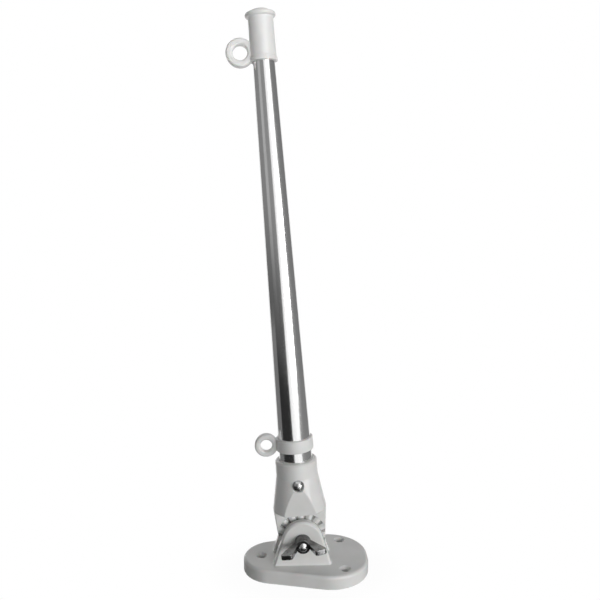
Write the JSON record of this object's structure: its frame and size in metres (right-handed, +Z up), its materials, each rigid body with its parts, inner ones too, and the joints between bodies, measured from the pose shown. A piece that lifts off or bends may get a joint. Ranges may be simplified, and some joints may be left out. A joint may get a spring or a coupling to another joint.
{
  "type": "boat flagpole",
  "caption": "Short tapered steel flagstaff in a flared socket that tilts in a toothed fork on a screwed-down plate, locked by a wing nut, with eyes for a flag",
  "frame": {"origin": "on the underside of the plate, straight under the hinge", "axes": "+Z up from the deck, +X towards the broad end of the plate, -Y the side with the wing nut"},
  "size_m": [0.1048, 0.0711, 0.4141],
  "materials": {
    "white_nylon": "moulded nylon, satin",
    "polished_steel": "polished stainless steel",
    "fastener_steel": "bright stainless steel"
  },
  "bodies": {
    "foot": {"base": "white_nylon", "hinge_bolt": "fastener_steel"},
    "pole": {"socket": "white_nylon", "lock_screw": "fastener_steel", "pole_tube": "polished_steel", "halyard_ring": "white_nylon", "top_cap": "white_nylon"},
    "nut": {"wing_nut": "fastener_steel"}
  },
  "joints": [
    {"name": "pole_tilt", "type": "hinge", "parent": "foot", "child": "pole", "pos_m": [0, 0, 0.0285], "axis": [0, 1, 0], "range_deg": [-75, 84]},
    {"name": "wing_nut_turn", "type": "hinge", "parent": "foot", "child": "nut", "pos_m": [0, -0.0146, 0.0285], "axis": [0, -1, 0], "continuous": true}
  ]
}
